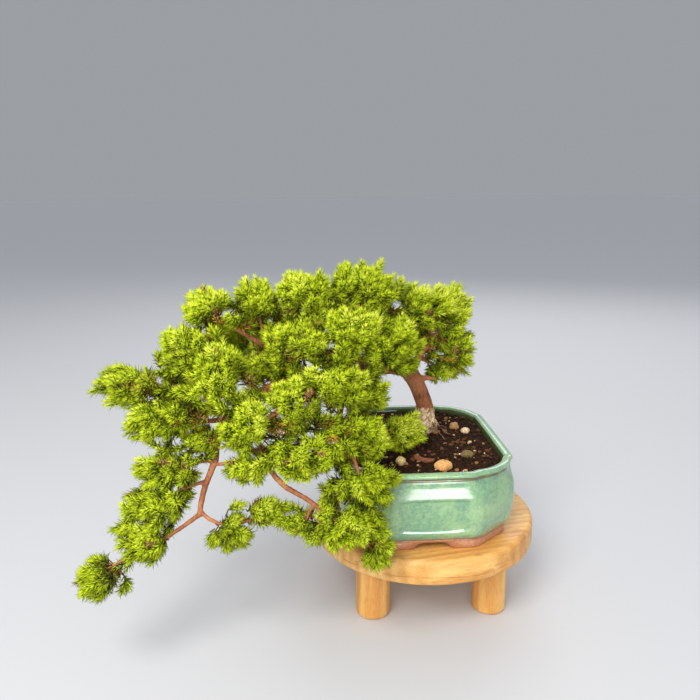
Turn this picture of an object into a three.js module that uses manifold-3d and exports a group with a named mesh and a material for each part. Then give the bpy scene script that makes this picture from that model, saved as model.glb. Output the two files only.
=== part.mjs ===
// A young juniper grown as a semi-cascade bonsai, in a glazed cut-corner pot on a round
// wooden stand. Millimetres, +Z up, +X away from the cascade, -Y towards the front.
import * as THREE from 'three';
import { mergeVertices } from 'three/addons/utils/BufferGeometryUtils.js';
import Module from 'manifold-3d';

const wasm = await Module();
wasm.setup();

// ---- driving dimensions ----
const GAP = 0.3;             // clearance between a piece and the neighbour that shapes it
const REST = 0.05;           // clearance under a piece that rests flat
const SLIVER = 0.06;         // detail finer than this is cleaned off a cut surface

const STAND_RADIUS = 84;
const STAND_THICKNESS = 19;
const STAND_HEIGHT = 62;     // floor to the stand's top face
const STAND_ROUNDING = 3.5;  // of the disc's two rims
const LEG_RADIUS = 12.5;
const LEG_CIRCLE = 61;       // from the stand's middle to each leg's axis
const TENON_RADIUS = 8;
const TENON_LENGTH = 11;

const POT_CENTRE = [-4, 5];
const POT_HALF_X = 62.4;
const POT_HALF_Y = 78;
const POT_CUT_X = 29.2;      // how much of each side the cut corner takes
const POT_CUT_Y = 25.5;
const POT_HEIGHT = 57.3;
const FOOT_HEIGHT = 7.5;
const POT_FLOOR = 12.5;      // foot to the inner floor
const CORNER_BEND = 7;       // length of the soft bend at each of the plan's eight corners
const BELLY = 0.9;           // how far the walls swell outside the rim
const FOOT_RING = [5, 13];   // the foot ring's outer and inner faces, inside the rim
const ARCH_SHORT = 27;       // width of the cut-out between the feet on a short side
const ARCH_LONG = 66;
const PANEL_SHORT = 54;      // width of the sunk panel on a short side
const PANEL_LONG = 92;
const PANEL_HEIGHT = 27;
const PANEL_LEVEL = 27;      // foot to the middle of a panel
const PANEL_DEPTH = 1;
const PANEL_BEND = 6;
const DRAIN_RADIUS = 6;
const DRAIN_OFFSET = 30;     // each drain hole from the pot's middle, along Y
const SCREEN_SIZE = 22;
const SCREEN_THICKNESS = 1.2;

const SOIL_LEVEL = 52.5;      // foot to the soil's surface along the wall
const SOIL_MOUND = 3;        // rise of the surface towards the trunk
const SOIL_TOP_RINGS = 5;    // level outlines, out to the wall, that follow the mound
const TRUNK_FOOT = [6, 22];  // where the trunk leaves the soil

const COLOURS = {
  timber: 0xe8bd78, glaze: 0xa8c79a, plastic: 0x2c3a30, soil: 0x35251c,
  bark: 0x9a5a3a, foliage: 0x8ea62a, cream: 0xe6d7ae, tan: 0xc79a5e, chip: 0x7a4630,
};

const potBase = STAND_HEIGHT + REST;

// ---- solids ----
function toSolid(geometry) {
  geometry.deleteAttribute('normal');
  geometry.deleteAttribute('uv');
  const merged = mergeVertices(geometry, 1e-4);
  return new wasm.Manifold(new wasm.Mesh({
    numProp: 3,
    vertProperties: new Float32Array(merged.attributes.position.array),
    triVerts: new Uint32Array(merged.index.array),
  }));
}

function toGeometry(solid) {
  const mesh = solid.getMesh();
  const geometry = new THREE.BufferGeometry();
  const stride = mesh.numProp;
  const positions = new Float32Array(mesh.vertProperties.length / stride * 3);
  for (let i = 0; i < positions.length / 3; i += 1) {
    for (let k = 0; k < 3; k += 1) positions[3 * i + k] = mesh.vertProperties[stride * i + k];
  }
  geometry.setAttribute('position', new THREE.BufferAttribute(positions, 3));
  geometry.setIndex(new THREE.BufferAttribute(new Uint32Array(mesh.triVerts), 1));
  geometry.computeVertexNormals();
  return geometry;
}

function union(solids) {
  return solids.reduce((whole, solid) => whole.add(solid)).simplify(SLIVER);
}

// The largest piece of a cut solid, without the crumbs and slivers that a cut leaves behind.
function mainBody(solid) {
  const largest = solid.decompose().reduce((a, b) => (a.volume() > b.volume() ? a : b));
  return largest.simplify(SLIVER);
}

const group = new THREE.Group();
function addPart(name, solid, colour, roughness) {
  const look = new THREE.MeshStandardMaterial({ color: colour, roughness, metalness: 0 });
  const mesh = new THREE.Mesh(toGeometry(solid), look);
  mesh.name = name;
  group.add(mesh);
}

// Moves every corner of a geometry by a function of its place.
function reshape(geometry, place) {
  const corners = geometry.attributes.position;
  const corner = new THREE.Vector3();
  for (let i = 0; i < corners.count; i += 1) {
    corner.fromBufferAttribute(corners, i);
    corners.setXYZ(i, ...place(corner));
  }
  return geometry;
}

// ---- the stand: a turned disc on four dowel legs, each with a tenon in a blind socket ----
function turned(profile, segments) {
  const outline = profile.map(([radius, height]) => new THREE.Vector2(radius, height));
  return toSolid(new THREE.LatheGeometry(outline, segments).rotateX(Math.PI / 2));
}

function standTopSolid(legPlaces) {
  const under = STAND_HEIGHT - STAND_THICKNESS;
  const inner = STAND_RADIUS - STAND_ROUNDING;
  let top = turned([
    [0, under], [inner, under], [STAND_RADIUS - 1, under + 1.2], [STAND_RADIUS, under + STAND_ROUNDING],
    [STAND_RADIUS, STAND_HEIGHT - STAND_ROUNDING], [STAND_RADIUS - 1, STAND_HEIGHT - 1.2],
    [inner, STAND_HEIGHT], [0, STAND_HEIGHT],
  ], 40);
  const socketDepth = TENON_LENGTH + GAP;
  for (const [x, y] of legPlaces) {
    const socket = new THREE.CylinderGeometry(TENON_RADIUS + GAP, TENON_RADIUS + GAP, 2 * socketDepth, 20);
    top = top.subtract(toSolid(socket.rotateX(Math.PI / 2).translate(x, y, under)));
  }
  return top;
}

function legSolid([x, y]) {
  const shoulder = STAND_HEIGHT - STAND_THICKNESS - REST;
  return turned([
    [0, 0], [LEG_RADIUS - 2, 0], [LEG_RADIUS - 0.5, 0.8], [LEG_RADIUS, 2.5],
    [LEG_RADIUS, shoulder], [TENON_RADIUS, shoulder],
    [TENON_RADIUS, shoulder + TENON_LENGTH], [0, shoulder + TENON_LENGTH],
  ], 20).translate([x, y, 0]);
}

const legPlaces = [225, 315, 45, 135].map((degrees) => {
  const angle = THREE.MathUtils.degToRad(degrees);
  return [LEG_CIRCLE * Math.cos(angle), LEG_CIRCLE * Math.sin(angle)];
});
const standTop = standTopSolid(legPlaces);
addPart('stand_top', standTop, COLOURS.timber, 0.55);
legPlaces.forEach((place, i) => {
  addPart(`stand_leg_${i + 1}`, legSolid(place), COLOURS.timber, 0.55);
});

// ---- the pot ----
// The pot's plan at a distance inside its rim: a rectangle with its four corners cut off,
// each of the eight edges turned round with a soft bend.
function potPlan(inset) {
  const x = POT_HALF_X - inset;
  const y = POT_HALF_Y - inset;
  const slope = Math.hypot(POT_CUT_X, POT_CUT_Y);
  const reach = 1 - inset * (POT_CUT_X + POT_CUT_Y - slope) / (POT_CUT_X * POT_CUT_Y);
  const cutX = POT_CUT_X * reach;
  const cutY = POT_CUT_Y * reach;
  const corners = [];
  for (const [sx, sy, first] of [[1, -1, 1], [1, 1, 0], [-1, 1, 1], [-1, -1, 0]]) {
    const pair = [[sx * x, sy * (y - cutY)], [sx * (x - cutX), sy * y]];
    corners.push(...(first ? pair.reverse() : pair));
  }
  const bend = CORNER_BEND - 0.2 * inset;
  const plan = new THREE.Shape();
  corners.forEach((corner, i) => {
    const here = new THREE.Vector2(...corner);
    const before = new THREE.Vector2(...corners[(i + 7) % 8]).sub(here).setLength(bend).add(here);
    const after = new THREE.Vector2(...corners[(i + 1) % 8]).sub(here).setLength(bend).add(here);
    if (i === 0) plan.moveTo(before.x, before.y);
    else plan.lineTo(before.x, before.y);
    plan.quadraticCurveTo(here.x, here.y, after.x, after.y);
  });
  plan.closePath();
  return plan;
}

// A solid whose level plans follow the pot's: profile lists [inset, height] from the middle
// of the underside round to the middle of the top.
function potTurned(profile, bendSteps, lift = () => 0) {
  const plans = profile.map(([inset]) => potPlan(inset).getPoints(bendSteps).slice(0, -1));
  const count = plans[0].length;
  const outline = profile.map(([, height], i) => new THREE.Vector2(i + 1, height));
  const last = profile.length - 1;
  const closed = [new THREE.Vector2(0, profile[0][1]), ...outline, new THREE.Vector2(0, profile[last][1])];
  const shell = new THREE.LatheGeometry(closed, count);
  return toSolid(reshape(shell, ({ x, y, z }) => {
    const level = Math.round(Math.hypot(x, z)) - 1;
    if (level < 0) return [0, 0, y + (y > profile[0][1] + 1 ? lift(0, 0) : 0)];
    const step = Math.round(Math.atan2(x, z) / (2 * Math.PI) * count + count) % count;
    const point = plans[level][step];
    const raised = level > last - SOIL_TOP_RINGS ? lift(point.x, point.y) : 0;
    return [point.x, point.y, y + raised];
  }));
}

function archCut(width, along) {
  const half = width / 2;
  const arch = new THREE.Shape();
  arch.moveTo(-half - 5, -1);
  arch.lineTo(half + 5, -1);
  arch.quadraticCurveTo(half + 4, 2.5, half + 1.5, FOOT_HEIGHT * 0.55);
  arch.quadraticCurveTo(half, FOOT_HEIGHT - 0.2, half - 4, FOOT_HEIGHT - 0.2);
  arch.lineTo(-half + 4, FOOT_HEIGHT - 0.2);
  arch.quadraticCurveTo(-half, FOOT_HEIGHT - 0.2, -half - 1.5, FOOT_HEIGHT * 0.55);
  arch.quadraticCurveTo(-half - 4, 2.5, -half - 5, -1);
  const depth = 4 * POT_HALF_Y;
  const tunnel = new THREE.ExtrudeGeometry(arch, { depth, bevelEnabled: false, curveSegments: 4 });
  tunnel.translate(0, 0, -depth / 2).rotateX(Math.PI / 2);
  if (along === 'x') tunnel.rotateZ(Math.PI / 2);
  return toSolid(tunnel);
}

function panelCut(width, face, angle) {
  const x = width / 2;
  const z = PANEL_HEIGHT / 2;
  const bend = PANEL_BEND;
  const panel = new THREE.Shape();
  panel.moveTo(-x + bend, -z);
  panel.lineTo(x - bend, -z);
  panel.quadraticCurveTo(x, -z, x, -z + bend);
  panel.lineTo(x, z - bend);
  panel.quadraticCurveTo(x, z, x - bend, z);
  panel.lineTo(-x + bend, z);
  panel.quadraticCurveTo(-x, z, -x, z - bend);
  panel.lineTo(-x, -z + bend);
  panel.quadraticCurveTo(-x, -z, -x + bend, -z);
  const block = new THREE.ExtrudeGeometry(panel, { depth: 10, bevelEnabled: false, curveSegments: 3 });
  block.rotateX(Math.PI / 2).translate(0, PANEL_DEPTH - face, PANEL_LEVEL);
  return toSolid(block.rotateZ(angle));
}

function potSolid() {
  const bowl = potTurned([
    [14, FOOT_HEIGHT - 0.2], [6.5, FOOT_HEIGHT - 0.2], [3.4, 8.4], [1.2, 11], [0.1, 16], [-BELLY, 27],
    [-BELLY, 34], [-0.4, 39], [0.4, 44.5], [1.9, 51.2], [0.3, 52.6], [-0.3, 54.8], [0.5, 56.6],
    [1.9, POT_HEIGHT], [5.4, POT_HEIGHT], [6.5, 56.4], [7.2, 38], [8, 22], [11, 14.5], [17, POT_FLOOR],
  ], 2);
  const ringHeight = FOOT_HEIGHT + 1;
  const ringPlan = potPlan(FOOT_RING[0]);
  ringPlan.holes.push(potPlan(FOOT_RING[1]));
  const ringSettings = { depth: ringHeight, bevelEnabled: false, curveSegments: 3 };
  let feet = toSolid(new THREE.ExtrudeGeometry(ringPlan, ringSettings));
  feet = feet.subtract(archCut(ARCH_SHORT, 'y')).subtract(archCut(ARCH_LONG, 'x'));
  let pot = bowl.add(feet);
  for (const side of [0, Math.PI]) {
    pot = pot.subtract(panelCut(PANEL_SHORT, POT_HALF_Y + BELLY, side));
    pot = pot.subtract(panelCut(PANEL_LONG, POT_HALF_X + BELLY, side + Math.PI / 2));
  }
  for (const side of [-1, 1]) {
    const drain = new THREE.CylinderGeometry(DRAIN_RADIUS, DRAIN_RADIUS, 30, 20);
    pot = pot.subtract(toSolid(drain.rotateX(Math.PI / 2).translate(0, side * DRAIN_OFFSET, 8)));
  }
  return pot.simplify(SLIVER);
}
const pot = potSolid().translate([...POT_CENTRE, potBase]);
addPart('pot', pot, COLOURS.glaze, 0.15);

// A square of plastic mesh over each drain hole.
function drainScreenSolid(side) {
  const pitch = 4.4;
  const opening = 3.2;
  let mesh = toSolid(new THREE.BoxGeometry(SCREEN_SIZE, SCREEN_SIZE, SCREEN_THICKNESS));
  for (let i = -1; i <= 1; i += 1) {
    for (let j = -1; j <= 1; j += 1) {
      const cell = new THREE.BoxGeometry(opening, opening, 2 * SCREEN_THICKNESS);
      mesh = mesh.subtract(toSolid(cell.translate(i * pitch, j * pitch, 0)));
    }
  }
  const [x, y] = POT_CENTRE;
  const level = potBase + POT_FLOOR + REST + SCREEN_THICKNESS / 2;
  return mesh.translate([x, y + side * DRAIN_OFFSET, level]);
}
[-1, 1].forEach((side, i) => {
  addPart(`drain_screen_${i + 1}`, drainScreenSolid(side), COLOURS.plastic, 0.6);
});

// ---- the wood: trunk, roots, branches and twigs, all one growth ----
// A limb runs along a smooth curve through its points, its radius easing from point to point.
const limbs = {
  trunk: {
    route: [[5.5, 22, 90], [5.5, 22, 105], [5, 20.5, 121], [4.2, 18, 137], [0.5, 16, 148], [-3.1, 13, 157],
      [-8.3, 10, 166], [-15, 6, 173.5], [-31, -4, 178]],
    radii: [6.5, 8.2, 7.6, 6.8, 6.5, 6.4, 6.5, 6.7, 6.5], sides: 10, steps: 14,
  },
  leader: {
    route: [[-17, 4.6, 174], [-31, -4, 178], [-46, -12, 176], [-64, -21, 175], [-86, -32, 177],
      [-108, -42, 175], [-127, -50, 168], [-141, -56, 157], [-148, -62, 144], [-149, -69, 133],
      [-154, -76, 122], [-157, -82, 112], [-158, -88, 103]],
    radii: [6.6, 6.6, 6.2, 5.6, 5, 4.3, 3.7, 3.2, 2.7, 2.4, 2.1, 1.9, 1.7], sides: 8, steps: 20,
  },
  crown: {
    route: [[-31, -4, 178], [-37, -8, 192], [-42, -12, 209], [-44, -14, 231]], radii: [4.4, 3.2, 2.4, 1.5],
  },
  crown_left: {
    route: [[-64, -21, 175], [-76, -24, 192], [-86, -25, 210], [-89, -25, 228]], radii: [3.6, 2.8, 2, 1.3],
  },
  shoulder: {
    route: [[-86, -32, 177], [-104, -34, 192], [-124, -36, 207], [-147, -43, 223]], radii: [3.4, 2.6, 2, 1.2],
  },
  back: {
    route: [[-46, -12, 176], [-54, 2, 188], [-60, 13, 202], [-62, 20, 214]], radii: [3.6, 2.8, 2, 1.2],
  },
  back_left: {
    route: [[-86, -32, 177], [-100, -16, 184], [-116, -4, 191], [-134, 0, 196]], radii: [3, 2.4, 1.8, 1.1],
  },
  right: { route: [[-9, 9.5, 167], [-3, 9, 181], [8, 10, 194], [17, 11, 208]], radii: [3.8, 2.8, 2.2, 1.3] },
  right_low: { route: [[-3, 9, 180], [3, 14, 177], [9, 17, 173], [14, 19, 168]], radii: [2.2, 1.8, 1.4, 1] },
  stub: { route: [[-5, 12, 162], [3, 11.5, 163.5], [11, 11, 162.3]], radii: [2.8, 2.1, 1.6], steps: 3 },
  front: {
    route: [[-46, -12, 176], [-55, -28, 174], [-63, -44, 168], [-67, -58, 158], [-64, -70, 147],
      [-58, -82, 134], [-54, -89, 122]],
    radii: [4, 3.3, 2.8, 2.3, 1.8, 1.4, 1], steps: 8,
  },
  front_left: {
    route: [[-86, -32, 177], [-91, -50, 177], [-98, -66, 172], [-110, -78, 166], [-124, -85, 160]],
    radii: [3.2, 2.6, 2, 1.6, 1.1], steps: 6,
  },
  middle: {
    route: [[-64, -21, 175], [-64, -36, 190], [-62, -46, 202], [-60, -51, 210]], radii: [3, 2.4, 1.8, 1.1],
  },
  left: {
    route: [[-127, -50, 168], [-146, -54, 174], [-168, -58, 180], [-200, -62, 183]],
    radii: [2.8, 2.3, 1.8, 1],
  },
  left_low: {
    route: [[-141, -56, 157], [-156, -60, 157], [-171, -64, 159], [-186, -66, 163]],
    radii: [2, 1.7, 1.4, 0.9],
  },
  side: {
    route: [[-148, -61, 147], [-140, -66, 146], [-132, -70, 145], [-124, -75, 142], [-116, -80, 135],
      [-109, -84, 126], [-101, -87, 119], [-86, -90, 111], [-72, -92, 99], [-58, -94, 86], [-47, -96, 79]],
    radii: [2.4, 2.2, 2.1, 2, 2, 2, 1.9, 1.6, 1.3, 1.1, 0.8], steps: 12,
  },
  fork_left: {
    route: [[-158, -87, 104], [-164, -91, 101], [-177, -96, 94], [-196, -102, 87], [-216, -108, 78]],
    radii: [1.7, 1.5, 1.3, 1.1, 0.8], steps: 6,
  },
  fork_right: {
    route: [[-157, -86, 105], [-150, -89, 100], [-136, -92, 98], [-120, -92, 104], [-108, -92, 111]],
    radii: [1.5, 1.3, 1.1, 1, 0.8], steps: 6,
  },
  fork_right_low: {
    route: [[-138, -92, 98], [-132, -93, 92], [-128, -94, 86]], radii: [1.1, 1, 0.8], steps: 3,
  },
  sprig: {
    route: [[-66, -60, 156], [-60, -52, 143], [-44, -36, 132], [-24, -21, 129], [-8, -14, 130]],
    radii: [1.6, 1.4, 1.3, 1.1, 0.8], steps: 6,
  },
};

// Roots leave the flare, run down over the soil and dive into it: a stout one at the front, then finer ones.
const roots = [
  [[3, 15, 131], [1.2, 9, 123], [0, -1, 117], [-1.5, -9, 111]],
  [[8, 15, 130], [12, 9, 122], [17, 2, 116], [20, -4, 110]],
  [[9, 19, 130], [15, 17, 122], [22, 13, 116], [29, 10, 110]],
  [[7, 23, 129], [12, 29, 122], [17, 36, 116], [21, 42, 110]],
  [[3, 23, 129], [-2, 29, 122], [-8, 36, 116], [-12, 42, 110]],
  [[1, 20, 129], [-6, 18, 122], [-13, 15, 116], [-20, 12, 110]],
];
roots.forEach((route, i) => {
  const radii = i === 0 ? [3.5, 3.2, 2.6, 1.8] : [2.6, 1.5, 1.1, 0.8];
  limbs[`root_${i}`] = { route, radii, sides: 6, steps: 4 };
});

// ---- foliage: each spray is a soft cushion of shoots round its own twig ----
// from: where the twig leaves the wood, or null where a limb already ends in the spray;
// tilt: degrees that the spray slopes down to its left.
const sprays = [
  { name: 'crown_top', at: [-44, -14, 238], half: [24, 21, 18] },
  { name: 'crown_left', at: [-88, -24, 235], half: [20, 19, 15] },
  { name: 'crown_far_left', at: [-122, -28, 231], half: [19, 17, 14], from: [-116, -35, 202] },
  { name: 'crown_back', at: [-62, 20, 219], half: [26, 20, 16] },
  { name: 'shoulder_left', at: [-151, -44, 230], half: [16, 16, 14] },
  { name: 'shoulder_back', at: [-138, 0, 201], half: [24, 18, 15] },
  { name: 'left_high', at: [-166, -50, 207], half: [16, 16, 14], tilt: 20, from: [-146, -54, 175] },
  { name: 'left_tip', at: [-203, -62, 184], half: [22, 15, 11], tilt: 12 },
  { name: 'left_low', at: [-184, -68, 163], half: [21, 17, 14], tilt: -8 },
  { name: 'left_middle', at: [-147, -72, 191], half: [22, 17, 19], from: [-134, -54, 164] },
  { name: 'left_back', at: [-170, -30, 178], half: [20, 15, 14], from: [-150, -55, 175] },
  { name: 'centre_back', at: [-103, -22, 204], half: [20, 18, 16], from: [-98, -34, 187] },
  { name: 'centre_high', at: [-92, -54, 207], half: [21, 16, 17], from: [-88, -36, 177] },
  { name: 'centre_face', at: [-60, -54, 211], half: [21, 16, 18] },
  { name: 'right_face', at: [-27, -34, 201], half: [20, 17, 18], from: [-37, -9, 190] },
  { name: 'right_inner', at: [-4, 4, 221], half: [13, 15, 14], from: [8, 10, 195] },
  { name: 'right_top', at: [20, 11, 217], half: [15, 17, 17] },
  { name: 'right_outer', at: [28, 14, 189], half: [12, 16, 16], from: [8, 10, 194] },
  { name: 'right_low', at: [19, 18, 168], half: [16, 12, 8] },
  { name: 'right_back', at: [-16, 34, 199], half: [20, 15, 15], from: [-3, 9, 180] },
  { name: 'front_upper', at: [-73, -68, 181], half: [24, 16, 16], from: [-63, -44, 168] },
  { name: 'front_right', at: [-48, -46, 170], half: [15, 13, 12], from: [-58, -34, 172] },
  { name: 'front_middle', at: [-100, -76, 167], half: [19, 14, 16] },
  { name: 'front_left', at: [-126, -87, 161], half: [17, 14, 15] },
  { name: 'over_pot', at: [-60, -70, 146], half: [24, 15, 16] },
  { name: 'front_low', at: [-90, -88, 141], half: [22, 15, 15], from: [-64, -70, 148] },
  { name: 'pot_face', at: [-53, -90, 121], half: [20, 12, 14] },
  { name: 'stand_face', at: [-64, -94, 96], half: [20, 15, 15] },
  { name: 'stand_low', at: [-45, -97, 78], half: [10, 9, 11] },
  { name: 'side_tuft', at: [-92, -92, 97], half: [11, 8, 7], from: [-84, -90, 110] },
  { name: 'inner_right', at: [-125, -86, 134], half: [15, 10, 9], from: [-150, -71, 131] },
  { name: 'inner_left', at: [-160, -66, 146], half: [12, 10, 9], from: [-148, -63, 142] },
  { name: 'fork_right_high', at: [-116, -92, 107], half: [15, 8, 8], tilt: 15 },
  { name: 'fork_right_low', at: [-137, -93, 94], half: [14, 9, 12] },
  { name: 'cascade_high', at: [-178, -81, 132], half: [18, 13, 13], from: [-149, -69, 133] },
  { name: 'cascade_middle', at: [-185, -89, 113], half: [20, 13, 11], from: [-154, -76, 122] },
  { name: 'cascade_low', at: [-191, -98, 93], half: [20, 13, 13] },
  { name: 'cascade_tip', at: [-217, -108, 76], half: [18, 11, 10], tilt: 25 },
  { name: 'soil_sprig', at: [-18, -19, 132], half: [18, 10, 13] },
  { name: 'heart_left', at: [-119, -32, 185], half: [16, 15, 13], from: [-108, -42, 175] },
  { name: 'heart_right', at: [8, 13, 191], half: [12, 13, 14] },
];
for (const { name, at, from } of sprays) {
  if (from) {
    const inside = from.map((value, k) => value + 0.85 * (at[k] - value));
    const middle = from.map((value, k) => (value + at[k]) / 2 + (k === 2 ? 2 : 0));
    limbs[`twig_${name}`] = { route: [from, middle, inside], radii: [1.5, 1.2, 0.8], sides: 4, steps: 2 };
  }
}

function limbSolid({ route, radii, sides = 6, steps = 5 }, extra) {
  const curve = new THREE.CatmullRomCurve3(route.map((point) => new THREE.Vector3(...point)));
  const frames = curve.computeFrenetFrames(steps);
  const rod = new THREE.CylinderGeometry(1, 1, steps, sides, steps);
  return toSolid(reshape(rod, ({ x, y, z }) => {
    const step = Math.round(steps / 2 - y);
    const along = step / steps * (radii.length - 1);
    const before = Math.min(Math.floor(along), radii.length - 2);
    const radius = THREE.MathUtils.lerp(radii[before], radii[before + 1], along - before) + extra;
    const point = curve.getPoint(step / steps);
    point.addScaledVector(frames.normals[step], x * radius);
    point.addScaledVector(frames.binormals[step], z * radius);
    if (step === 0) point.addScaledVector(frames.tangents[0], -extra);
    if (step === steps) point.addScaledVector(frames.tangents[steps], extra);
    return point.toArray();
  }));
}
const wood = union(Object.values(limbs).map((limb) => limbSolid(limb, 0)));
const woodRoom = union(Object.values(limbs).map((limb) => limbSolid(limb, GAP)));
addPart('trunk_and_branches', wood, COLOURS.bark, 0.8);

// ---- stones and bark on the soil ----
const stones = [
  { name: 'stone_tan_large', at: [6, -51], half: [6.4, 5, 5], colour: COLOURS.tan },
  { name: 'stone_cream', at: [-22.6, -39], half: [3.8, 3.6, 4], colour: COLOURS.cream },
  { name: 'stone_tan_small', at: [30.3, 28.7], half: [4.5, 4, 3.5], colour: COLOURS.tan },
  { name: 'stone_cream_small', at: [37, 19.8], half: [3.8, 3, 3], colour: COLOURS.cream },
  { name: 'stone_olive', at: [27.2, -29.8], half: [5.5, 4.5, 3.5], colour: COLOURS.tan },
];
const soilRise = (x, y) => {
  const [tx, ty] = [TRUNK_FOOT[0] - POT_CENTRE[0], TRUNK_FOOT[1] - POT_CENTRE[1]];
  const mound = SOIL_MOUND * Math.exp(-((x - tx) ** 2 + (y - ty) ** 2) / 900);
  return mound + 0.7 * Math.sin(x / 7 + 1.6) * Math.cos(y / 9);
};
function stoneSolid({ at: [x, y], half }, extra) {
  const ball = new THREE.IcosahedronGeometry(1, 1);
  const level = potBase + SOIL_LEVEL + soilRise(x - POT_CENTRE[0], y - POT_CENTRE[1]) + 0.35 * half[2];
  return toSolid(reshape(ball, (p) => {
    const lump = 1 + 0.08 * Math.sin(4 * p.x + 2 * x) * Math.cos(5 * p.y + y) + 0.05 * Math.sin(6 * p.z);
    return [x + p.x * (half[0] * lump + extra), y + p.y * (half[1] * lump + extra),
      level + p.z * (half[2] * lump + extra)];
  }));
}
for (const stone of stones) addPart(stone.name, stoneSolid(stone, 0), stone.colour, 0.7);

function barkChipSolid(extra) {
  const chip = new THREE.BoxGeometry(15 + 2 * extra, 4.5 + 2 * extra, 2.4 + 2 * extra, 3, 1, 1);
  reshape(chip, ({ x, y, z }) => [x, y * (1 - (x / 14) ** 2), z + 0.02 * x * x]);
  return toSolid(chip.rotateZ(-0.55).translate(-5.5, -37, potBase + SOIL_LEVEL + 1));
}
addPart('bark_chip', barkChipSolid(0), COLOURS.chip, 0.85);

// ---- the soil: fills the pot to just under its rim, round the roots and stones ----
function soilSolid() {
  const wall = GAP;
  let soil = potTurned([
    [17 + wall, POT_FLOOR + REST], [11 + wall, 14.5 + REST], [8 + wall, 22], [7.2 + wall, 38],
    [6.9 + wall, 48], [7.2 + wall, SOIL_LEVEL - 1],
    [11, SOIL_LEVEL], [19, SOIL_LEVEL], [29, SOIL_LEVEL], [43, SOIL_LEVEL],
  ], 1, soilRise).translate([...POT_CENTRE, potBase]);
  for (const side of [-1, 1]) {
    const room = SCREEN_SIZE + 2 * GAP;
    const cover = new THREE.BoxGeometry(room, room, 2 * (SCREEN_THICKNESS + GAP));
    const [x, y] = POT_CENTRE;
    soil = soil.subtract(toSolid(cover.translate(x, y + side * DRAIN_OFFSET, potBase + POT_FLOOR)));
  }
  for (const stone of stones) soil = soil.subtract(stoneSolid(stone, GAP));
  return mainBody(soil.subtract(barkChipSolid(GAP)).subtract(woodRoom));
}
addPart('soil', soilSolid(), COLOURS.soil, 0.95);

// ---- the sprays, each trimmed back from the wood and from the sprays before it ----
function spraySolid({ at, half, tilt = 0 }, extra) {
  const detail = half[0] >= 23 ? 2 : 1;
  const cushion = new THREE.IcosahedronGeometry(1, detail);
  reshape(cushion, (p) => {
    const swell = 0.09 * Math.sin(3 * p.x + at[0]) * Math.cos(4 * p.y + at[1]);
    const lump = 1 + swell + 0.05 * Math.sin(5 * p.z + at[2]);
    return half.map((size, k) => p.getComponent(k) * (size * lump + extra));
  });
  return toSolid(cushion.rotateY(-THREE.MathUtils.degToRad(tilt)).translate(...at));
}
let taken = woodRoom;
for (const spray of sprays) {
  const trimmed = mainBody(spraySolid(spray, 0).subtract(taken));
  addPart(`foliage_${spray.name}`, trimmed, COLOURS.foliage, 0.7);
  taken = taken.add(spraySolid(spray, GAP));
}

// ---- the origin: on the floor, under the middle of everything ----
const box = new THREE.Box3().setFromObject(group);
const middle = box.getCenter(new THREE.Vector3());
group.position.set(-middle.x, -middle.y, -box.min.z);

export default group;
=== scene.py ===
# A juniper bonsai: foliage sprays, wood, soil, glazed pot and wooden stand, built round the fixed frame.
import math
import random

import bmesh
import bpy
import numpy as np
from mathutils import Matrix, Quaternion, Vector, noise
from mathutils.bvhtree import BVHTree


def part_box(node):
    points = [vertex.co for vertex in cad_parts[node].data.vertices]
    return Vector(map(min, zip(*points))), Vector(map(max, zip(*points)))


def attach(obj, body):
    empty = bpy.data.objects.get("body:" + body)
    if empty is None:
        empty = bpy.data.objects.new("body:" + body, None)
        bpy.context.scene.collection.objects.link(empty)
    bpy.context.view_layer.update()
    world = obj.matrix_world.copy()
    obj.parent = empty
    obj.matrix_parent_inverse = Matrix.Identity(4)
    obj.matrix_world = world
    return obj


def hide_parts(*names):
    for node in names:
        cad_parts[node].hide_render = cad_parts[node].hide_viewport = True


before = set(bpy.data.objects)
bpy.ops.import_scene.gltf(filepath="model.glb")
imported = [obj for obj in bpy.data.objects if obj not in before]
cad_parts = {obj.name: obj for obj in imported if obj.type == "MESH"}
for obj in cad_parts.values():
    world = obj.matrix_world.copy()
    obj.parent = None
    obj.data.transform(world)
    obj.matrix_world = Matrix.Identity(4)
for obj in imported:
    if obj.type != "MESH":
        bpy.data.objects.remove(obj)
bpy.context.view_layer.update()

sceneCollection = bpy.context.scene.collection

# Shapes are worked out in millimetres from the middle of the stand's foot circle.
standLow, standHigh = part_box("stand_top")
standMiddle = Vector(((standLow.x + standHigh.x) / 2, (standLow.y + standHigh.y) / 2, 0))
toFrame = Matrix.Translation(standMiddle) @ Matrix.Scale(0.001, 4)
toStand = toFrame.inverted()


def boxInMm(node):
    low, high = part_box(node)
    return toStand @ low, toStand @ high


standTop = standHigh.z * 1000


# ---- nodes and materials ----
def srgb(*values):  # 0 to 255 as on a colour chart, to the linear values that a shader takes
    return tuple(((v / 255 + 0.055) / 1.055) ** 2.4 if v > 10 else v / 255 / 12.92 for v in values)


def fillInputs(tree, made, inputs):  # a socket is linked, and anything else is the input's own value
    for key, value in inputs.items():
        if isinstance(value, bpy.types.NodeSocket):
            tree.links.new(value, made.inputs[key])
        else:
            made.inputs[key].default_value = value


def addNode(tree, kind, inputs=None, **settings):
    made = tree.nodes.new("ShaderNode" + kind)
    for key, value in settings.items():
        setattr(made, key, value)
    fillInputs(tree, made, inputs or {})
    return made


def colourRamp(tree, factor, stops):
    ramp = addNode(tree, "ValToRGB", {"Fac": factor})
    elements = ramp.color_ramp.elements
    elements[1].position, elements[1].color = stops[-1][0], (*stops[-1][1], 1)
    elements[0].position, elements[0].color = stops[0][0], (*stops[0][1], 1)
    for position, colour in stops[1:-1]:
        elements.new(position).color = (*colour, 1)
    return ramp.outputs["Color"]


def valueRamp(tree, factor, low, high):  # 0 below low, 1 above high
    return addNode(tree, "MapRange", {"Value": factor, "From Min": low, "From Max": high}).outputs["Result"]


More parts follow.
